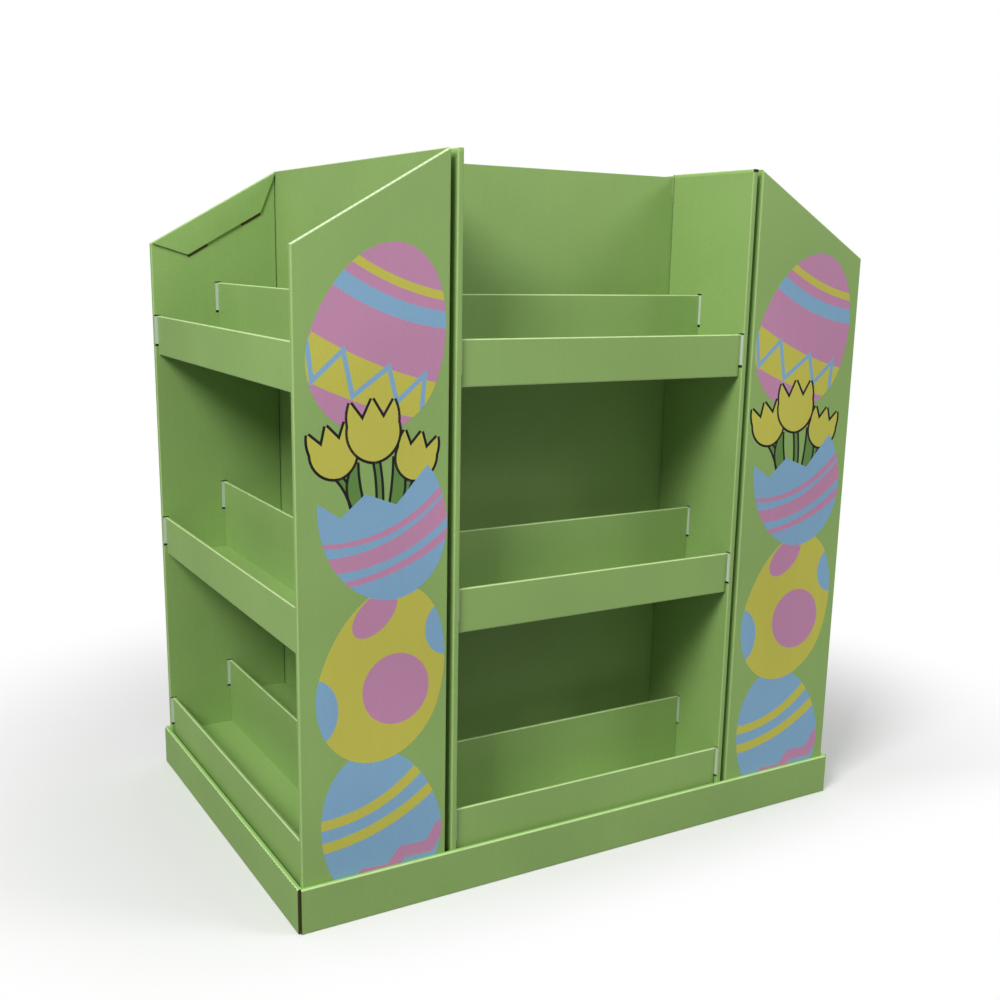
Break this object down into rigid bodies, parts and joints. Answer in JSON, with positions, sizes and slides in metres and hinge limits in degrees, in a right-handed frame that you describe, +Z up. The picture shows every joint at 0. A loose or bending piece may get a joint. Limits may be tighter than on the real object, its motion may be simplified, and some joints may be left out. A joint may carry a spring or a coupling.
{
  "type": "cardboard display stand",
  "caption": "Free-standing folded board display stand: a base tray carries end and middle shelf units with stepped lipped shelves, sloping printed ends and an open top.",
  "frame": {"origin": "middle of the tray's footprint, on the ground", "axes": "+Z up, X along the tray's long side, the middle units open towards -Y and +Y, the end units towards -X and +X"},
  "size_m": [1.2, 0.82, 1.278],
  "materials": {
    "printed_board": "matt printed corrugated board",
    "plain_board": "unprinted corrugated board"
  },
  "bodies": {
    "root": {"base_tray": "printed_board", "core_sleeve": "plain_board", "left_end_body": "printed_board", "left_end_low_shelf": "printed_board", "left_end_low_step": "printed_board", "left_end_mid_shelf": "printed_board", "left_end_mid_step": "printed_board", "left_end_top_shelf": "printed_board", "left_end_top_step": "printed_board", "right_end_body": "printed_board", "right_end_low_shelf": "printed_board", "right_end_low_step": "printed_board", "right_end_mid_shelf": "printed_board", "right_end_mid_step": "printed_board", "right_end_top_shelf": "printed_board", "right_end_top_step": "printed_board", "front_middle_body": "printed_board", "front_middle_low_shelf": "printed_board", "front_middle_low_step": "printed_board", "front_middle_mid_shelf": "printed_board", "front_middle_mid_step": "printed_board", "front_middle_top_shelf": "printed_board", "front_middle_top_step": "printed_board", "rear_middle_body": "printed_board", "rear_middle_low_shelf": "printed_board", "rear_middle_low_step": "printed_board", "rear_middle_mid_shelf": "printed_board", "rear_middle_mid_step": "printed_board", "rear_middle_top_shelf": "printed_board", "rear_middle_top_step": "printed_board"}
  },
  "joints": []
}
